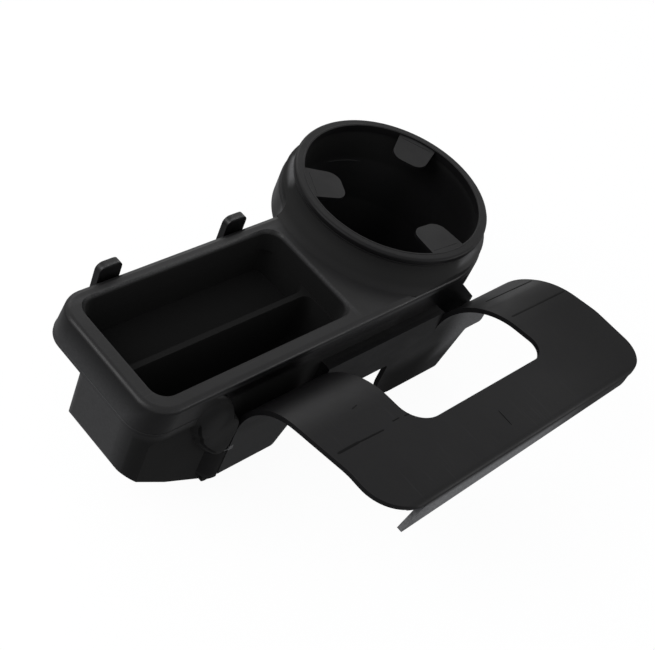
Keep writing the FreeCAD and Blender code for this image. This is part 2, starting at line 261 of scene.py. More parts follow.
def soft_box(name, place, target, width, height, power):
    """Rectangular area lamp at place whose -Z axis points at target."""
    data = bpy.data.lights.new(name, "AREA")
    data.shape = "RECTANGLE"
    data.size = width
    data.size_y = height
    data.energy = power
    lamp = bpy.data.objects.new(name, data)
    aim = Vector(target) - Vector(place)
    lamp.matrix_world = Matrix.Translation(place) @ aim.to_track_quat("-Z", "Y").to_matrix().to_4x4()
    bpy.context.scene.collection.objects.link(lamp)


soft_box("key", (-0.95, 0.30, 0.80), MIDDLE, width=0.7, height=0.7, power=6.5)
soft_box("low_front", (0.75, -1.0, 0.10), TURNED_DOWN_EDGE, width=0.7, height=0.16, power=2.2)
soft_box("rim", (0.35, 0.80, 0.60), MIDDLE, width=0.8, height=0.4, power=1.8)

# %% [markdown]
# ## Effects that several plastics share
# Five effects are built once as node groups and placed in each plastic with its own values. **moulded_grain**
# is the fine spark-eroded texture of the mould. **handling** is the slow change of gloss that hands and
# wiping leave. **settled_dust** greys whatever faces up. **drag_marks** are hairline scratches along one
# axis. The fifth marks one soft-edged place, a box or a ring about the cup's axis, and gives it a colour and
# a gloss of its own: at the fingers' tips that is real wear, and everywhere else it is painted light or
# painted shade, such as highlights, reflections and shaded walls. Each reads Object coordinates in metres, so
# a pattern keeps its real size on every piece.


# %% Group: moulded grain
PEBBLE_SCALE = 0.3
PEBBLE_WEIGHT = 0.55


def object_place(tree, name, scale=(1, 1, 1)):
    """Object coordinates stretched by a Mapping node."""
    coordinates = add_node(tree, "ShaderNodeTexCoord", name + " coordinates")
    mapping = add_node(tree, "ShaderNodeMapping", name + " scale")
    mapping.inputs["Scale"].default_value = scale
    feed(tree, mapping.inputs["Vector"], coordinates.outputs["Object"])
    return mapping.outputs["Vector"]


grain, start, end = new_group(
    "moulded_grain", [("Size", NUMBER, 1800.0), ("Depth", NUMBER, 1.0)],
    [("Height", NUMBER), ("Fleck", NUMBER)])
place = object_place(grain, "grain")
pits = noise(grain, "pits", place, start.outputs["Size"], detail=3.0, roughness=0.6)
pebbles = add_node(grain, "ShaderNodeTexVoronoi", "pebbles", feature="SMOOTH_F1", Smoothness=0.6)
feed(grain, pebbles.inputs["Vector"], place)
feed(grain, pebbles.inputs["Scale"], maths(grain, "coarser", "MULTIPLY", start.outputs["Size"], PEBBLE_SCALE))
both = maths(grain, "pits and pebbles", "MULTIPLY_ADD", pebbles.outputs["Distance"], PEBBLE_WEIGHT, pits)
feed(grain, end.inputs["Height"], maths(grain, "depth", "MULTIPLY", both, start.outputs["Depth"]))
feed(grain, end.inputs["Fleck"], pits)
print("group:", grain.name)

# %% Group: handling
FLECK_ROUGHNESS = 0.08

handling, start, end = new_group(
    "handling", [("Glossy", NUMBER, 0.3), ("Dull", NUMBER, 0.5), ("Fleck", NUMBER, 0.5)],
    [("Roughness", NUMBER)])
place = object_place(handling, "handling", (1, 1, 1.6))
smudges = noise(handling, "smudges", place, 26.0, detail=5.0, roughness=0.62)
spread = smooth_share(handling, "spread", smudges, 0.36, 0.66)
between = mixed(handling, "between", "FLOAT", spread, start.outputs["Glossy"], start.outputs["Dull"])
flecked = maths(handling, "flecks", "MULTIPLY_ADD", start.outputs["Fleck"], FLECK_ROUGHNESS, between)
feed(handling, end.inputs["Roughness"], flecked)
print("group:", handling.name)

# %% Group: settled dust
dust, start, end = new_group(
    "settled_dust",
    [("Plastic", COLOUR, (0.01, 0.01, 0.01, 1)), ("Dust", COLOUR, (0.2, 0.2, 0.2, 1)),
     ("Amount", NUMBER, 0.1)],
    [("Colour", COLOUR)])
surface = add_node(dust, "ShaderNodeNewGeometry", "surface")
facing = add_node(dust, "ShaderNodeSeparateXYZ", "facing")
feed(dust, facing.inputs[0], surface.outputs["Normal"])
faces_up = smooth_share(dust, "faces up", facing.outputs["Z"], 0.25, 0.95)
drifts = noise(dust, "drifts", object_place(dust, "dust"), 60.0, detail=8.0, roughness=0.7)
patchy = maths(dust, "patchy", "MULTIPLY", faces_up, drifts)
amount = maths(dust, "amount", "MULTIPLY", patchy, start.outputs["Amount"])
greyed = mixed(dust, "greyed", "RGBA", amount, start.outputs["Plastic"], start.outputs["Dust"])
feed(dust, end.inputs["Colour"], greyed)
print("group:", dust.name)

# %% Group: drag marks
ALONG, SQUARE = 40, 900

drag, start, end = new_group(
    "drag_marks", [("Along Y", NUMBER, 1.0), ("Strength", NUMBER, 1.0)],
    [("Height", NUMBER), ("Mask", NUMBER)])
hairlines = []
for label, stretch in (("across", (ALONG, SQUARE, SQUARE)), ("along", (SQUARE, ALONG, SQUARE))):
    place = object_place(drag, label, stretch)
    streaks = noise(drag, "streaks " + label, place, 1.0, detail=2.0, roughness=0.5)
    hairlines.append(smooth_share(drag, "hairlines " + label, streaks, 0.63, 0.76))
turned = mixed(drag, "direction", "FLOAT", start.outputs["Along Y"], *hairlines)
cut = maths(drag, "strength", "MULTIPLY", turned, start.outputs["Strength"])
feed(drag, end.inputs["Height"], maths(drag, "cut in", "MULTIPLY", cut, -1.0))
feed(drag, end.inputs["Mask"], cut)
print("group:", drag.name)

# %% Group: worn zone
wear_and_light, start, end = new_group(
    "wear_and_painted_light_zone",
    [("Centre", VECTOR, (0, 0, 0)), ("Half Size", VECTOR, (0.01, 0.01, 0.01)),
     ("Soft", VECTOR, (0.004, 0.004, 0.004)), ("Broken", NUMBER, 0.5), ("Most", NUMBER, 1.0),
     ("Round the Cup", NUMBER, 0.0)],
    [("Mask", NUMBER)])
place = object_place(wear_and_light, "zone")
plan = vector_maths(wear_and_light, "plan", "MULTIPLY", place, (1, 1, 0))
height = add_node(wear_and_light, "ShaderNodeSeparateXYZ", "height")
feed(wear_and_light, height.inputs[0], place)
about_axis = add_node(wear_and_light, "ShaderNodeCombineXYZ", "turned about the axis")
feed(wear_and_light, about_axis.inputs["X"], vector_maths(wear_and_light, "distance from axis", "LENGTH", plan, result=1))
feed(wear_and_light, about_axis.inputs["Z"], height.outputs["Z"])
either = mixed(wear_and_light, "box or ring", "VECTOR", start.outputs["Round the Cup"], place, about_axis.outputs[0])
offset = vector_maths(wear_and_light, "from centre", "SUBTRACT", either, start.outputs["Centre"])
distance = vector_maths(wear_and_light, "distance", "ABSOLUTE", offset)
outside = vector_maths(wear_and_light, "outside the box", "SUBTRACT", distance, start.outputs["Half Size"])
axes = add_node(wear_and_light, "ShaderNodeSeparateXYZ", "by axis")
feed(wear_and_light, axes.inputs[0], vector_maths(wear_and_light, "in soft widths", "DIVIDE", outside, start.outputs["Soft"]))
wider = maths(wear_and_light, "x or y", "MAXIMUM", axes.outputs["X"], axes.outputs["Y"])
widest = maths(wear_and_light, "or z", "MAXIMUM", wider, axes.outputs["Z"])
fading = smooth_share(wear_and_light, "fades out", widest, 0.0, 1.0, start=1.0, finish=0.0)
specks = noise(wear_and_light, "specks", place, 1100.0, detail=3.0, roughness=0.7)
sharper = smooth_share(wear_and_light, "sharper specks", specks, 0.38, 0.62)
missing = maths(wear_and_light, "missing", "MULTIPLY", sharper, start.outputs["Broken"])
kept = maths(wear_and_light, "kept", "SUBTRACT", 1.0, missing)
patch = maths(wear_and_light, "patch", "MULTIPLY", fading, kept)
feed(wear_and_light, end.inputs["Mask"], maths(wear_and_light, "at most", "MULTIPLY", patch, start.outputs["Most"]))
print("group:", wear_and_light.name)

# %% [markdown]
# ## The plastics
# All three mouldings are black, yet they differ. The housing is a satin ABS. The bracket is the same plastic
# pressed flatter and scratched by the console it slides over. The grip ring is softer and duller. One
# function builds such a plastic from the shared effects, and the numbers that hold all over, such as the
# specular level, are set directly on the Principled shader. Two duller blacks serve the ramp and the groove
# beside the bracket's leg; the groove's near-black is painted shade.


# %% Plastic builder
HAIRLINE_SHARE = 0.10
RELIEF_STRENGTH = 0.35
RELIEF_HEIGHT = 0.00006


def placed_group(tree, name, group, **values):
    """Group node with its inputs set; an underscore in a keyword stands for a space."""
    made = add_node(tree, "ShaderNodeGroup", name, node_tree=group)
    for key, value in values.items():
        feed(tree, made.inputs[key.replace("_", " ")], value)
    return made.outputs


def moulded_plastic(name, colour, dust_colour, glossy, dull, grain_size, grain_depth, dust_amount,
                    scratches, along_y, specular, zones=()):
    """Black plastic: dust, hairlines and zones in its colour, smudges in its gloss, grain in its bump."""
    material = bpy.data.materials.new(name)
    material.use_nodes = True
    tree = material.node_tree
    tree.nodes.clear()
    shader = add_node(tree, "ShaderNodeBsdfPrincipled", "plastic", IOR=1.5)
    shader.inputs["Specular IOR Level"].default_value = specular
    output = add_node(tree, "ShaderNodeOutputMaterial", "surface output")
    feed(tree, output.inputs["Surface"], shader.outputs[0])

    texture = placed_group(tree, "moulded grain", grain, Size=grain_size, Depth=grain_depth)
    gloss = placed_group(tree, "handling", handling, Glossy=glossy, Dull=dull, Fleck=texture["Fleck"])
    lines = placed_group(tree, "drag marks", drag, Along_Y=along_y, Strength=scratches)
    dusty = placed_group(tree, "settled dust", dust, Plastic=(*colour, 1), Dust=(*dust_colour, 1),
                         Amount=dust_amount)
    scuffs = maths(tree, "hairline colour", "MULTIPLY", lines["Mask"], HAIRLINE_SHARE)
    base = mixed(tree, "pale hairlines", "RGBA", scuffs, dusty["Colour"], (*dust_colour, 1))
    rough = gloss["Roughness"]
    for label, centre, half, soft, broken, most, zone_colour, zone_rough in zones:
        mask = placed_group(tree, label, wear_and_light, Centre=centre, Half_Size=half, Soft=soft, Broken=broken,
                            Most=most, Round_the_Cup=float(label.startswith("ring")))["Mask"]
        base = mixed(tree, label + " colour", "RGBA", mask, base, (*zone_colour, 1))
        rough = mixed(tree, label + " gloss", "FLOAT", mask, rough, zone_rough)
    feed(tree, shader.inputs["Base Color"], base)
    feed(tree, shader.inputs["Roughness"], rough)

    relief = maths(tree, "grain and hairlines", "ADD", texture["Height"], lines["Height"])
    bump = add_node(tree, "ShaderNodeBump", "surface relief", Strength=RELIEF_STRENGTH,
                    Distance=RELIEF_HEIGHT)
    feed(tree, bump.inputs["Height"], relief)
    feed(tree, shader.inputs["Normal"], bump.outputs["Normal"])
    return material


# %% The plastics, with their zones of wear, painted light and painted shade
# A zone is a name, its centre, half size and soft width along x, y and z, how broken it is,
# its strongest share, its colour and its roughness. Where the name starts with "ring", x is
# the distance from the cup's axis.
FINGER_DEGREES = (27.0, 153.0, 265.0)
TIP_RADIUS, TIP_HEIGHT = 0.0245, 0.0800
SHADE = (0.0010, 0.0010, 0.0010)
# The cup's wall is a cone. Short rings, each wider than the one below, follow its inside without coming out
# on its outside. Each is a lowest and highest z, a radius and a grey; the greys are painted light, paler
# towards the cup's floor.
CUP_LIGHT_STEPS = (
    (-0.002, 0.021, 0.0346, 0.0280), (0.020, 0.044, 0.0368, 0.0220),
    (0.043, 0.066, 0.0390, 0.0130), (0.065, 0.077, 0.0402, 0.0075))

housing_zones = [
    # Painted shade: the deep tray's inside is near black.
    ("tray_inside_shade", (-0.106, -0.015, 0.0350), (0.0495, 0.026, 0.0325), (0.003, 0.003, 0.0025),
     0.0, 1.0, (0.0008, 0.0008, 0.0008), 0.97),
    # Painted shade on the wall below the skirt and on the band under the tray's front edge.
    ("under_skirt_shade", (-0.100, -0.0445, 0.0260), (0.066, 0.0033, 0.0270), (0.012, 0.0012, 0.004),
     0.0, 1.0, SHADE, 0.85),
    ("front_band_shade", (-0.0950, -0.0475, 0.0590), (0.0350, 0.0010, 0.0060), (0.016, 0.0012, 0.0030),
     0.0, 0.9, SHADE, 0.80),
    ("heel_shade", (-0.1270, -0.0494, 0.0460), (0.0120, 0.0010, 0.0180), (0.005, 0.0010, 0.004),
     0.0, 0.6, SHADE, 0.75),
    ("heel_top_shade", (-0.1195, -0.0494, 0.0590), (0.0030, 0.0010, 0.0070), (0.006, 0.0010, 0.008),
     0.0, 0.9, (0.0008, 0.0008, 0.0008), 0.85),
    ("front_wall_shade", (-0.1290, -0.0450, 0.0160), (0.0080, 0.0030, 0.0100), (0.014, 0.003, 0.016),
     0.1, 0.9, (0.0012, 0.0012, 0.0012), 0.80),
    # Painted light: the box's left end is paler, as if lit from that side.
    ("left_end_painted_light", (-0.1760, -0.0100, 0.0260), (0.0060, 0.0200, 0.0300), (0.024, 0.014, 0.014),
     0.2, 1.0, (0.046, 0.046, 0.047), 0.42),
    # Painted shade on the collar just below the grip ring; its high roughness spreads the highlight there.
    ("ring_collar", (0.0475, 0.0, 0.0745), (0.0035, 1.0, 0.0030), (0.0040, 1.0, 0.0030),
     0.0, 0.9, SHADE, 0.80),
    # Painted light inside the cup, in the greys of its steps.
    *((f"ring_cup_{1000 * low:.0f}", (radius / 2, 0.0, (low + high) / 2), (radius / 2, 1.0, (high - low) / 2),
       (0.0005, 1.0, 0.0020), 0.0, 1.0, (grey, grey, grey), 0.50) for low, high, radius, grey in CUP_LIGHT_STEPS),
    # Painted shade on the cup's right inner wall, back to the housing's own black.
    ("cup_right_shade", (0.0300, -0.0120, 0.0350), (0.0120, 0.0250, 0.0400), (0.026, 0.020, 0.004),
     0.0, 0.9, (0.0050, 0.0048, 0.0051), 0.35),
    ("glint_left", (-0.0300, 0.0320, 0.0770), (0.0040, 0.0050, 0.0012), (0.0050, 0.0060, 0.0025),
     0.2, 0.9, (0.120, 0.120, 0.121), 0.30),
    ("glint_right", (0.0110, -0.0445, 0.0775), (0.0040, 0.0016, 0.0010), (0.0080, 0.0030, 0.0030),
     0.2, 0.9, (0.120, 0.120, 0.121), 0.30),
    # Pale lines along the tray's front edge and round its mouth: painted highlights.
    ("front_edge_wear", (-0.106, -0.0468, 0.0697), (0.050, 0.0004, 0.0004), (0.010, 0.0014, 0.0014),
     0.8, 0.5, (0.022, 0.022, 0.023), 0.30),
    ("mouth_right_wear", (-0.0566, -0.0160, 0.0700), (0.0002, 0.0180, 0.0003), (0.0012, 0.012, 0.0010),
     0.6, 0.7, (0.040, 0.040, 0.041), 0.28),
    ("mouth_left_wear", (-0.1553, -0.0160, 0.0700), (0.0002, 0.0150, 0.0003), (0.0012, 0.012, 0.0010),
     0.6, 0.5, (0.030, 0.030, 0.031), 0.28),
    ("mouth_back_wear", (-0.1060, 0.0108, 0.0699), (0.0460, 0.0003, 0.0004), (0.010, 0.0014, 0.0012),
     0.5, 0.8, (0.028, 0.028, 0.029), 0.28),
    # Pale lines on the clips' top edges: painted highlights.
    ("clip_edge_highlight_left", (-0.1356, 0.0174, 0.0746), (0.0050, 0.0004, 0.0003), (0.0010, 0.0008, 0.0008),
     0.9, 0.8, (0.070, 0.070, 0.071), 0.28),
    ("clip_edge_highlight_right", (-0.0726, 0.0174, 0.0746), (0.0050, 0.0004, 0.0003), (0.0010, 0.0008, 0.0008),
     0.9, 0.8, (0.070, 0.070, 0.071), 0.28),
]
bracket_zones = [
    # Painted reflection: the turned-down edge is pale where it would mirror the white floor.
    ("flange_painted_reflection", (-0.058, -0.1218, 0.0575), (0.0240, 0.0012, 0.0055), (0.044, 0.004, 0.004),
     0.35, 0.9, (0.31, 0.31, 0.315), 0.35),
    # Painted light on the right leg.
    ("right_leg_painted_light", (0.0340, -0.0495, 0.0340), (0.005, 0.004, 0.008), (0.020, 0.004, 0.017),
     0.3, 0.9, (0.200, 0.200, 0.202), 0.40),
    # Painted shade low on the right leg.
    ("right_leg_painted_shade", (-0.0060, -0.0495, 0.0060), (0.006, 0.004, 0.008), (0.018, 0.004, 0.012),
     0.0, 0.9, (0.0006, 0.0006, 0.0006), 0.90),
    # Painted light on the left leg.
    ("left_leg_painted_light", (-0.0985, -0.0495, 0.0220), (0.014, 0.003, 0.011), (0.010, 0.004, 0.010),
     0.25, 0.8, (0.040, 0.040, 0.0405), 0.50),
    # Painted light on the right arm.
    ("right_arm_painted_light", (0.0300, -0.0560, 0.0590), (0.008, 0.006, 0.004), (0.012, 0.008, 0.010),
     0.3, 0.8, (0.045, 0.045, 0.0455), 0.40),
    # Painted shade, darker towards the plate's right end, with a matter finish.
    ("right_plate_shade", (0.0480, -0.1000, 0.0690), (0.004, 0.020, 0.002), (0.060, 0.040, 0.003),
     0.1, 0.9, (0.0026, 0.0025, 0.0027), 0.66),
    # Painted glint on the lip of the slit in the left leg.
    ("lip_painted_glint", (-0.1161, -0.0494, 0.02680), (0.0026, 0.0006, 0.0009), (0.0003, 0.0003, 0.0003),
     0.2, 0.9, (0.22, 0.22, 0.22), 0.35),
]
grip_zones = [
    (f"rubbed_tip_{degrees:.0f}",
     (TIP_RADIUS * math.cos(math.radians(degrees)), TIP_RADIUS * math.sin(math.radians(degrees)), TIP_HEIGHT),
     (0.0015, 0.0015, 0.002), (0.005, 0.005, 0.005), 0.4, 0.7, (0.009, 0.009, 0.0092), 0.26)
    for degrees in FINGER_DEGREES
]
# Near-black for the crescent on the swollen land: painted shade for a groove's shadow.
crescent_painted_shade = moulded_plastic(
    "crescent_painted_shade", (0.0016, 0.0016, 0.0017), (0.10, 0.10, 0.10), glossy=0.55, dull=0.7,
    grain_size=1700, grain_depth=0.8, dust_amount=0.0, scratches=0.0, along_y=0.0, specular=0.06)
ramp_plastic = moulded_plastic(
    "ramp_plastic", (0.0040, 0.0039, 0.0041), (0.16, 0.16, 0.165), glossy=0.40, dull=0.52,
    grain_size=1700, grain_depth=0.8, dust_amount=0.0, scratches=0.1, along_y=0.0, specular=0.10)
housing_plastic = moulded_plastic(
    "housing_plastic", (0.0050, 0.0048, 0.0051), (0.16, 0.16, 0.165), glossy=0.27, dull=0.40,
    grain_size=1700, grain_depth=0.8, dust_amount=0.03, scratches=0.25, along_y=0.0, specular=0.24,
    zones=housing_zones)
bracket_plastic = moulded_plastic(
    "bracket_plastic", (0.0046, 0.0044, 0.0048), (0.17, 0.17, 0.175), glossy=0.38, dull=0.48,
    grain_size=1500, grain_depth=1.0, dust_amount=0.025, scratches=0.22, along_y=1.0, specular=0.15,
    zones=bracket_zones)
grip_rubber = moulded_plastic(
    "grip_rubber", (0.0048, 0.0046, 0.0049), (0.15, 0.15, 0.155), glossy=0.32, dull=0.46,
    grain_size=2300, grain_depth=1.1, dust_amount=0.03, scratches=0.1, along_y=0.0, specular=0.15,
    zones=grip_zones)

for node, material in (("housing", housing_plastic), ("saddle_bracket", bracket_plastic),
                       ("grip_ring", grip_rubber)):
    slots = nodes[node].data.materials
    slots.clear()
    slots.append(material)
    print(node, "->", material.name)

# %% [markdown]
# ## Surfaces from arrays
# Every added detail is a sheet of points worked out with numpy. A grid of rows and
# columns becomes quads by index arithmetic: the quad at (i, j) joins (i, j), (i+1, j),
# (i+1, j+1) and (i, j+1). Where a surface closes on itself the last row or column joins
# the first, so there is no seam. The order of the columns decides which way the faces
# look, so some grids are turned round with [:, ::-1] to face outward.


# %% Grid to mesh
SINK = 0.00003


def surface_from_grid(name, grid, material, close_rows=False, close_columns=False, caps=False):
    """Mesh of quads over a (rows, columns, 3) grid of points in metres, riding on the holder."""
    rows, columns = grid.shape[:2]
    index = np.arange(rows * columns).reshape(rows, columns)
    down = np.roll(index, -1, axis=0) if close_rows else index[1:]
    here = index if close_rows else index[:-1]
    if close_columns:
        right, diagonal = np.roll(here, -1, axis=1), np.roll(down, -1, axis=1)
    else:
        right, diagonal, here, down = here[:, 1:], down[:, 1:], here[:, :-1], down[:, :-1]
    quads = np.stack([here, down, diagonal, right], axis=-1).reshape(-1, 4)
    faces = quads.tolist()
    if caps:
        faces += [index[0].tolist(), index[-1][::-1].tolist()]
    mesh = bpy.data.meshes.new(name)
    mesh.from_pydata(grid.reshape(-1, 3).tolist(), [], faces)
    mesh.validate()
    mesh.polygons.foreach_set("use_smooth", np.ones(len(mesh.polygons), bool))
    mesh.materials.append(material)
    piece = bpy.data.objects.new(name, mesh)
    bpy.context.scene.collection.objects.link(piece)
    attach(piece, "root")
    print(name, len(mesh.polygons), "faces")


# %% [markdown]
# ## Scored lines across the bracket's arms
# Fine dark lines cross both arms where the sheet starts to bend. A groove can't be cut into a finished solid
# here, so each line is a very low strip in a duller, darker black, painted shade that stands for the shadow
# in a groove. Its centre line follows the bent sheet: flat at 69 mm outside y = -79 mm, and on a quarter
# circle of radius 32 mm inside that. Its section is a raised cosine, and its ends fade out so that the line
# dies away into the plate. Its edges sink 0.03 mm into the sheet, so no gap shows.

# %% Scored lines
ARCH_CENTRE = np.array([-0.079, 0.037])
ARCH_RADIUS = 0.032
# The darker black is painted shade for the grooves.
score_painted_shade = moulded_plastic(
    "score_painted_shade", (0.0022, 0.0022, 0.0023), (0.10, 0.10, 0.10), glossy=0.55, dull=0.7,
    grain_size=2300, grain_depth=1.0, dust_amount=0.0, scratches=0.0, along_y=0.0, specular=0.09)


def on_sheet(y):
    """Points (y, z) and outward normals on the upper face of the bent sheet for each y."""
    inside = np.clip(y - ARCH_CENTRE[0], 0, ARCH_RADIUS * 0.999)
    z = ARCH_CENTRE[1] + np.sqrt(ARCH_RADIUS ** 2 - inside ** 2)
    normal = np.stack([inside / ARCH_RADIUS, (z - ARCH_CENTRE[1]) / ARCH_RADIUS], axis=-1)
    return np.stack([y, z], axis=-1), normal


def scored_line(name, start, end, width=0.0011, height=0.00014):
    """Strip from (x, y) start to end: height * cos^2(pi v / 2) * (1 - (2u - 1)^6) off the sheet."""
    u = np.linspace(0, 1, 41)[:, None]
    v = np.linspace(-1, 1, 9)[None, :]
    x = start[0] + (end[0] - start[0]) * u + 0 * v
    y = start[1] + (end[1] - start[1]) * u + v * width / 2
    place, normal = on_sheet(y)
    lift = height * np.cos(np.pi * v / 2) ** 2 * (1 - (2 * u - 1) ** 6) - SINK
    grid = np.stack([
        x, place[..., 0] + normal[..., 0] * lift, place[..., 1] + normal[..., 1] * lift], axis=-1)
    surface_from_grid(name, grid, score_painted_shade)


scored_line("left_arm_line_edge", (-0.1122, -0.0891), (-0.0995, -0.0892), width=0.0018, height=0.00009)
scored_line("left_arm_line_outer", (-0.1015, -0.0892), (-0.0872, -0.0898))
scored_line("left_arm_line_inner", (-0.0818, -0.0885), (-0.0778, -0.0886), width=0.0009)
scored_line("left_arm_line_window", (-0.0755, -0.0889), (-0.0728, -0.0892), width=0.0009)
scored_line("left_arm_tick", (-0.0922, -0.0765), (-0.0887, -0.0759), width=0.0008, height=0.00010)
scored_line("right_arm_line_low", (0.0113, -0.0590), (0.0430, -0.0605), width=0.0013)
scored_line("right_arm_line_high", (0.0085, -0.0736), (0.0468, -0.0746), width=0.0014)

# %% [markdown]
# ## Rings about the cup's axis
# Two low rings stand on the cup's floor, a bead runs along the grip ring's inner edge and
# a seal sits under its outer edge. They could be torus primitives, but only the half that
# shows is wanted. Each is a half round section turned about the cup's axis, leaning out of
# its own surface. The section goes a tenth past the half, so its edges lie inside the part.


# %% Rings turned about the cup's axis
CUP_FLOOR_HEIGHT = 0.0030


def turned_ring(name, centre, outward, radius, material):
    """Half round of that radius about centre (r, z), facing outward, turned through a full circle."""
    turn = np.linspace(0, 2 * np.pi, 121)[:-1][:, None]
    v = np.linspace(-0.5, 0.5, 11)[None, :] * np.pi * 1.1
    out = np.array(outward) / np.hypot(*outward)
    side = np.array([-out[1], out[0]])
    r = centre[0] + radius * (np.cos(v) * out[0] + np.sin(v) * side[0]) + 0 * turn
    z = centre[1] + radius * (np.cos(v) * out[1] + np.sin(v) * side[1]) + 0 * turn
    grid = np.stack([r * np.cos(turn), r * np.sin(turn), z], axis=-1)
    surface_from_grid(name, grid, material, close_rows=True)


turned_ring("cup_floor_ring_outer", (0.0225, CUP_FLOOR_HEIGHT), (0, 1), 0.0005, housing_plastic)
turned_ring("cup_floor_ring_inner", (0.0085, CUP_FLOOR_HEIGHT), (0, 1), 0.0004, housing_plastic)
turned_ring("grip_ring_bead", (0.0404, 0.0818), (-0.5, 1), 0.00035, grip_rubber)
turned_ring("grip_ring_seal", (0.0430, 0.0783), (1, -0.3), 0.00055, grip_rubber)

# %% [markdown]
# ## Beads along a path
# The parting line of the mould, the ribs that stiffen the clips, the folds at the
# fingers' roots and two short marks on the bracket are all thin beads. A bevelled curve
# would do, but its ends stay as thick as its middle. Here a round section is carried
# along a path as one array: at each point the section stands square to the path's
# tangent, and its radius shrinks almost to nothing at both ends, where a tiny cap closes
# it.


# %% Beads
PLATE_TOP = 0.0690
CLIP_X = (-0.1356, -0.0726)
CLIP_BACK = 0.0202
RIB_HALF = 0.0044
RIB_HEIGHTS = (0.0595, 0.0635, 0.0675)
FOLD_RADIUS, FOLD_HEIGHT = 0.0372, 0.08128
FOLD_HALF = 0.0076


def bead(name, path, radius, material, around=10, taper=6):
    """Tube on a path: radius * sqrt(1 - (1 - distance / taper)^2) within taper points of each end."""
    path = np.asarray(path, float)
    tangent = np.gradient(path, axis=0)
    tangent /= np.linalg.norm(tangent, axis=1, keepdims=True)
    helper = np.where(np.abs(tangent[:, 2:3]) > 0.9, [[1.0, 0, 0]], [[0, 0, 1.0]])
    side = np.cross(helper, tangent)
    side /= np.linalg.norm(side, axis=1, keepdims=True)
    over = np.cross(tangent, side)
    count = len(path)
    from_end = np.minimum(np.arange(count), np.arange(count)[::-1]) / taper
    width = radius * np.sqrt(np.clip(1 - (1 - np.clip(from_end, 0.02, 1)) ** 2, 0, 1))
    turn = np.linspace(0, 2 * np.pi, around + 1)[:-1]
    ring = side[:, None, :] * np.cos(turn)[None, :, None] + over[:, None, :] * np.sin(turn)[None, :, None]
    grid = path[:, None, :] + ring * width[:, None, None]
    surface_from_grid(name, grid[:, ::-1], material, close_columns=True, caps=True)


def straight(start, end, count=33):
    """Evenly spaced points from start to end."""
    share = np.linspace(0, 1, count)[:, None]
    return np.array(start) * (1 - share) + np.array(end) * share


for clip, x in enumerate(CLIP_X):
    for rib, z in enumerate(RIB_HEIGHTS):
        bead(f"clip_{clip}_rib_{rib}", straight((x - RIB_HALF, CLIP_BACK, z), (x + RIB_HALF, CLIP_BACK, z)),
             0.0004, housing_plastic)

for finger, degrees in enumerate(FINGER_DEGREES):
    angle = math.radians(degrees)
    outward = np.array([math.cos(angle), math.sin(angle), 0])
    sideways = np.array([-math.sin(angle), math.cos(angle), 0])
    root = outward * FOLD_RADIUS + np.array([0, 0, FOLD_HEIGHT])
    bead(f"finger_{finger}_fold", straight(root - sideways * FOLD_HALF, root + sideways * FOLD_HALF),
         0.00014, grip_rubber)

# The tick is in the same darker black: painted shade.
bead("plate_tick", straight((-0.0372, -0.1058, PLATE_TOP), (-0.0375, -0.1139, PLATE_TOP), 21), 0.00016,
     score_painted_shade)
# The lip is painted bright by a zone of the bracket's plastic: a painted glint.
bead("leg_slit_lip", straight((-0.1185, -0.0492, 0.0272), (-0.1133, -0.0493, 0.0264), 21), 0.00022,
     bracket_plastic)

# %% [markdown]
# ## Parting line and fill line
# The two halves of the mould met along the lower edge of the skirt and left a hair-thin
# line there. Its path is the skirt's outline: straight runs joined by quarter circles of
# 12 mm, worked out as arrays and placed end to end. The cup shows a short arc of a fill
# line, which is the same kind of bead on the cone of its wall.


# %% Parting line and fill line
LEFT, NEAR, FAR, CORNER = -0.16472, -0.0470, 0.0160, 0.0120
SKIRT_LINE_HEIGHT = 0.0582
CUP_TOP, CUP_FLOOR = np.array([0.0400, 0.0785]), np.array([0.0325, CUP_FLOOR_HEIGHT])
FILL_HEIGHT = 0.0624


def corner(centre, radius, start, end, count=25):
    """Points on a circular arc from start to end degrees."""
    angle = np.radians(np.linspace(start, end, count))
    return np.stack([centre[0] + radius * np.cos(angle), centre[1] + radius * np.sin(angle)], axis=-1)


def at_height(plan, height):
    """Plan points (x, y) lifted to one height."""
    return np.column_stack([plan, np.full(len(plan), height)])


outline = np.concatenate([
    straight((-0.1370, NEAR), (LEFT + CORNER, NEAR), 13)[:-1],
    corner((LEFT + CORNER, NEAR + CORNER), CORNER, -90, -180),
    straight((LEFT, NEAR + CORNER), (LEFT, FAR - CORNER), 17)[1:-1],
    corner((LEFT + CORNER, FAR - CORNER), CORNER, 180, 90),
    straight((LEFT + CORNER, FAR), (-0.0500, FAR), 31)[1:],
])
bead("skirt_parting_line", at_height(outline, SKIRT_LINE_HEIGHT), 0.00018, housing_plastic,
     around=8)

wall_slope = (CUP_TOP - CUP_FLOOR) / np.hypot(*(CUP_TOP - CUP_FLOOR))
wall_radius = CUP_FLOOR[0] + wall_slope[0] / wall_slope[1] * (FILL_HEIGHT - CUP_FLOOR[1])
fill_arc = corner((0, 0), wall_radius, start=58, end=84, count=41)
bead("cup_fill_line", at_height(fill_arc, FILL_HEIGHT), 0.0003, housing_plastic, around=8)

# %% [markdown]
# ## Swollen land on the front wall
# Beside the bracket the front wall swells out in a soft bean shape. A stretched sphere would be too regular.
# Its outline is a distance from the centre for a few directions, joined by straight steps and then smoothed
# by averaging neighbours round the circle. Its height falls with a high power of the share of that distance,
# which keeps the middle flat. The power is 6 on the far side, where the land runs out softly, and rises to 30
# on the bracket's side, where it ends in a steep edge. A dark crescent lies low on the soft side, where the
# photo shows a groove; its near-black is painted shade for the groove's shadow.


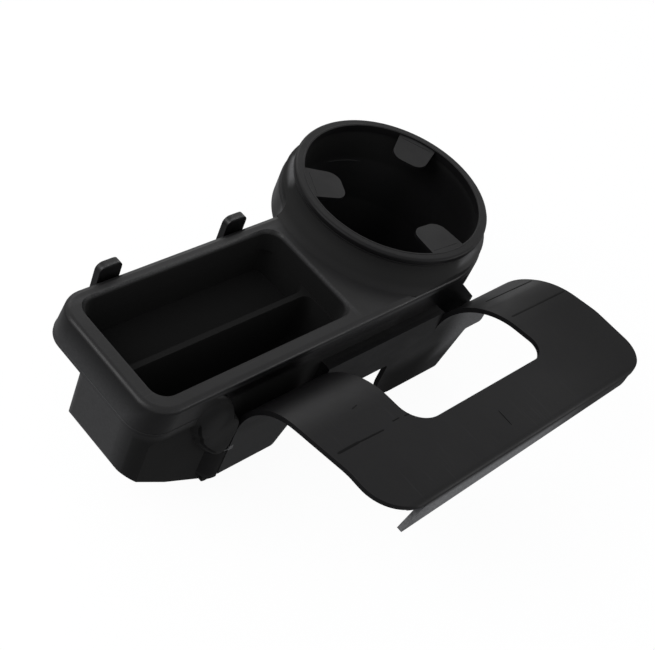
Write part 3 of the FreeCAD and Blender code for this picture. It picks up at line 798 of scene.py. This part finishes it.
# %% Swollen land
SOFT_POWER, EXTRA_POWER, STEEP_TURN = 6, 24, 0.45
SWELL = dict(centre=(-0.1250, 0.0440), back=-0.0450, height=0.0045)
SWELL_DEGREES = (52, 118, 130, 143, 151, 180, 222, 250, 270, 283, 293, 310, 336)
SWELL_RADII = (
    0.0068, 0.0232, 0.0232, 0.0212, 0.0170, 0.0112, 0.0106, 0.0121, 0.0156, 0.0205, 0.0215, 0.0140, 0.0106)
CRESCENT_DEGREES = (138, 284)
CRESCENT_SHARE, CRESCENT_HALF, CRESCENT_RISE = 0.80, 0.07, 0.00014


def smooth_round(degrees, radii, steps=96, reach=7):
    """Radius for each step of a full turn: linear between the given ones, then a moving average."""
    turn = np.linspace(0, 360, steps, endpoint=False)
    radius = np.interp(turn, degrees, radii, period=360)
    weights = np.hanning(reach + 2)[1:-1]
    weights /= weights.sum()
    padded = np.concatenate([radius[-(reach // 2):], radius, radius[:reach // 2]])
    return np.radians(turn), np.convolve(padded, weights, mode="valid")


def swell_point(centre, share, turn, radius, back, height):
    """Point at that share of the outline's radius: back - height * (1 - share^p), p from 6 to 30."""
    steep = SOFT_POWER + EXTRA_POWER * (0.5 + 0.5 * np.cos(turn + STEEP_TURN)) ** 2
    x = centre[0] + share * radius * np.cos(turn)
    z = centre[1] + share * radius * np.sin(turn)
    return np.stack([x, back - height * (1 - share ** steep), z], axis=-1)


turns, radii = smooth_round(SWELL_DEGREES, SWELL_RADII)
share = np.sin(np.linspace(np.pi / 2, 0.06, 24))[:, None]
swell_grid = swell_point(share=share, turn=turns[None, :], radius=radii[None, :], **SWELL)
surface_from_grid("heel_swell", swell_grid[:, ::-1], housing_plastic,
                  close_columns=True, caps=True)

arc = (turns > np.radians(CRESCENT_DEGREES[0])) & (turns < np.radians(CRESCENT_DEGREES[1]))
along = np.linspace(-1, 1, arc.sum())[None, :]
over = np.linspace(-1, 1, 9)[:, None]
crescent = swell_point(share=CRESCENT_SHARE + CRESCENT_HALF * over, turn=turns[arc][None, :],
                       radius=radii[arc][None, :], **SWELL)
crescent[..., 1] -= CRESCENT_RISE * np.cos(np.pi * over / 2) ** 2 * (1 - along ** 4) - SINK
surface_from_grid("heel_crescent_shade", crescent, crescent_painted_shade)

# %% [markdown]
# ## Ramp beside the left leg
# Under the swollen land the wall rises to meet the bracket's leg. A straight wedge would
# leave two hard corners, so the height across the ramp is 1 - (1 - t)^2, steep first. The
# same closed section is repeated down to a foot that follows the sloping bottom.

# %% Ramp
RAMP_LEFT, RAMP_WIDTH = -0.1250, 0.00935
WALL_FACE, RAMP_RISE = -0.0452, 0.00375
RAMP_TOP, RAMP_FOOT = 0.0270, 0.0081
BOTTOM_BEND, BOTTOM_SLOPE = -0.1195, 0.75

across = np.linspace(0, 1, 25)
ease = 1 - (1 - across) ** 2
front_line = np.stack([RAMP_LEFT + RAMP_WIDTH * across, WALL_FACE - RAMP_RISE * ease], axis=-1)
back_line = straight((RAMP_LEFT + RAMP_WIDTH, -0.0466), (RAMP_LEFT, -0.0449), 9)
section = np.concatenate([front_line, back_line])
foot = RAMP_FOOT + BOTTOM_SLOPE * np.clip(BOTTOM_BEND - section[:, 0], 0, None)
down = np.linspace(0, 1, 9)[:, None]
ramp_z = RAMP_TOP * (1 - down) + foot[None, :] * down
ramp_grid = np.stack([0 * ramp_z + section[:, 0], 0 * ramp_z + section[:, 1], ramp_z], axis=-1)
surface_from_grid("leg_ramp", ramp_grid, ramp_plastic, close_columns=True, caps=True)

# %% [markdown]
# ## Ejector marks
# Four pins pushed the moulding out and left round buttons on the underside of the box.
# Each is a superellipsoid: cosines and sines raised to a small power turn a sphere into a
# flat button with a rounded edge, with nothing left to bevel.


# %% Ejector marks
BOX_BOTTOM = 0.0050
MARK_HALF_SIZE = (0.0028, 0.0028, 0.00018)
MARK_PLACES = ((-0.1120, -0.0350), (-0.1120, -0.0180), (-0.0950, -0.0350), (-0.0950, -0.0180))


def soft_block(name, centre, half, tall, flat, material, around=48, rows=24):
    """Superellipsoid: signed cosines and sines to the power tall (up and down) and flat (in plan)."""
    def power(value, exponent):
        return np.sign(value) * np.abs(value) ** exponent

    rise = np.linspace(-np.pi / 2 + 0.02, np.pi / 2 - 0.02, rows)[:, None]
    turn = np.linspace(0, 2 * np.pi, around, endpoint=False)[None, :]
    x = centre[0] + half[0] * power(np.cos(rise), tall) * power(np.cos(turn), flat)
    y = centre[1] + half[1] * power(np.cos(rise), tall) * power(np.sin(turn), flat)
    z = centre[2] + half[2] * power(np.sin(rise), tall) + 0 * turn
    grid = np.stack([x, y, z], axis=-1)
    surface_from_grid(name, grid[:, ::-1], material, close_columns=True, caps=True)


for number, (x, y) in enumerate(MARK_PLACES):
    soft_block(f"ejector_mark_{number}", (x, y, BOX_BOTTOM), MARK_HALF_SIZE, tall=0.3, flat=1.0,
               material=housing_plastic)
